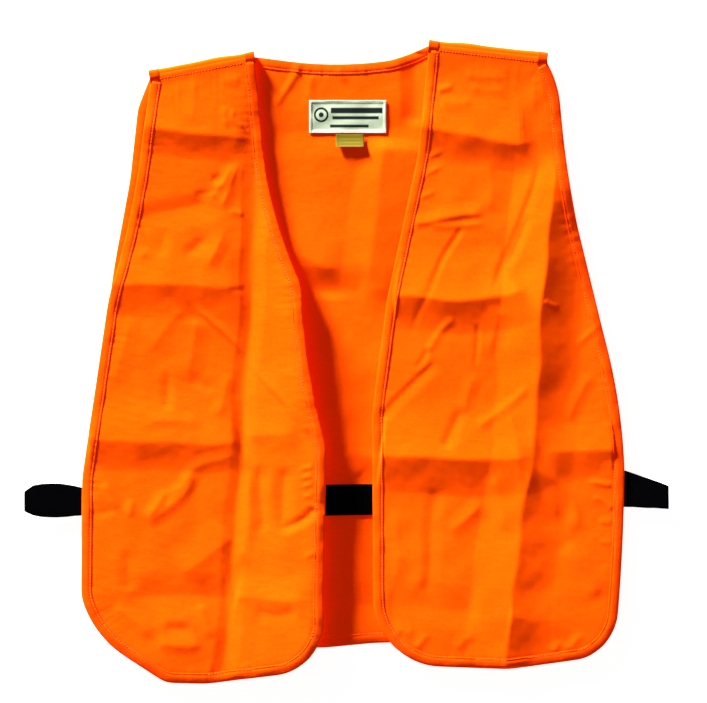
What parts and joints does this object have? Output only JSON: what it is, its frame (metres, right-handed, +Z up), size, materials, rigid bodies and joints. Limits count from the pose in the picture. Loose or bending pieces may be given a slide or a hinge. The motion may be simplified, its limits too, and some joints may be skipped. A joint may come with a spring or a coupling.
{
  "type": "safety vest",
  "caption": "Blaze orange sleeveless safety vest laid flat, open front, bound edges, with a black elastic loop at each side and a label inside the neck.",
  "frame": {"origin": "on the table, under the middle of the whole flat-laid vest, loops of elastic included", "axes": "+X towards the wearer's left side, +Y towards the neck, +Z up from the table, through the back and then the fronts"},
  "size_m": [0.6634, 0.664, 0.0143],
  "materials": {
    "orange_cloth": "plain woven polyester, blaze orange, slight sheen",
    "orange_binding": "narrow band of the same cloth, puckered by its stitching",
    "orange_thread": "spun sewing thread, orange",
    "black_elastic": "knitted elastic, black, ribbed along its length",
    "black_thread": "spun sewing thread, black",
    "label_cloth": "woven label tape, pale, satin",
    "label_thread": "spun sewing thread, pale",
    "care_tag": "thin printed tape, olive yellow"
  },
  "bodies": {
    "back": {"back_panel": "orange_cloth", "back_neck_binding": "orange_binding", "back_edge_binding": "orange_binding", "back_neck_stitching": "orange_thread", "back_edge_stitching": "orange_thread", "back_elastic": "black_elastic", "back_elastic_tacks": "black_thread", "right_side_elastic": "black_elastic", "left_side_elastic": "black_elastic", "right_shoulder_fold": "orange_cloth", "left_shoulder_fold": "orange_cloth", "neck_label": "label_cloth", "neck_label_stitching": "label_thread"},
    "right_front": {"right_front_panel": "orange_cloth", "right_front_binding": "orange_binding", "right_front_stitching": "orange_thread", "right_shoulder_seam": "orange_cloth", "right_shoulder_stitching": "orange_thread", "right_elastic_tack": "black_thread"},
    "left_front": {"left_front_panel": "orange_cloth", "left_front_binding": "orange_binding", "left_front_stitching": "orange_thread", "left_shoulder_seam": "orange_cloth", "left_shoulder_stitching": "orange_thread", "left_elastic_tack": "black_thread"},
    "care_tag": {"care_tag": "care_tag"}
  },
  "joints": [
    {"name": "right_front_lift", "type": "hinge", "parent": "back", "child": "right_front", "pos_m": [-0.0955, 0.3137, 0.007], "axis": [-0.9825, -0.1865, 0], "range_deg": [0, 25], "deforming": ["right_shoulder_fold", "right_side_elastic"]},
    {"name": "left_front_lift", "type": "hinge", "parent": "back", "child": "left_front", "pos_m": [0.0855, 0.3255, 0.007], "axis": [-0.9936, 0.1132, 0], "range_deg": [0, 25], "deforming": ["left_shoulder_fold", "left_side_elastic"]},
    {"name": "care_tag_flip", "type": "hinge", "parent": "back", "child": "care_tag", "pos_m": [0.0035, 0.2343, 0.0045], "axis": [-1, 0, 0], "range_deg": [0, 150]}
  ]
}
